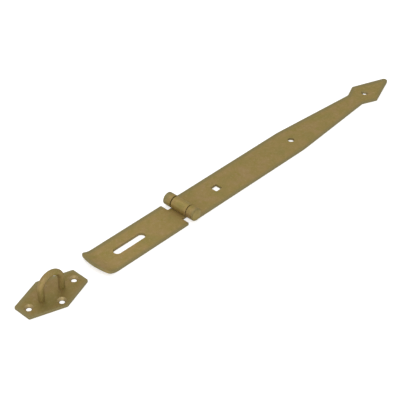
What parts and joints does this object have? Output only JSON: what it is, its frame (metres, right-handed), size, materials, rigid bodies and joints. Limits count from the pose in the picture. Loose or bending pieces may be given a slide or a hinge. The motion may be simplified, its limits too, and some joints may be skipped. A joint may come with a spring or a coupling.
{
  "type": "hinged strap hasp and staple",
  "caption": "Long spear-tipped steel strap with a slotted hasp leaf hinged on a riveted pin, and the screw-on staple plate whose bar loop passes through the leaf for a padlock.",
  "frame": {"origin": "middle of the laid-out set, on the plane of the plates' backs", "axes": "+X along the strap from its hinge to its spear tip, +Z out of the mounting surface towards the staple's loop"},
  "size_m": [0.564, 0.0456, 0.0302],
  "materials": {
    "zinc_plated_steel": "yellow-passivated zinc plating, satin and slightly mottled"
  },
  "bodies": {
    "mounted": {"strap": "zinc_plated_steel", "hinge_pin": "zinc_plated_steel", "staple_plate": "zinc_plated_steel", "staple": "zinc_plated_steel"},
    "leaf": {"hasp_leaf": "zinc_plated_steel"}
  },
  "joints": [
    {"name": "hasp_hinge", "type": "hinge", "parent": "mounted", "child": "leaf", "pos_m": [-0.069, 0, 0.007], "axis": [0, 1, 0], "range_deg": [0, 180]}
  ]
}
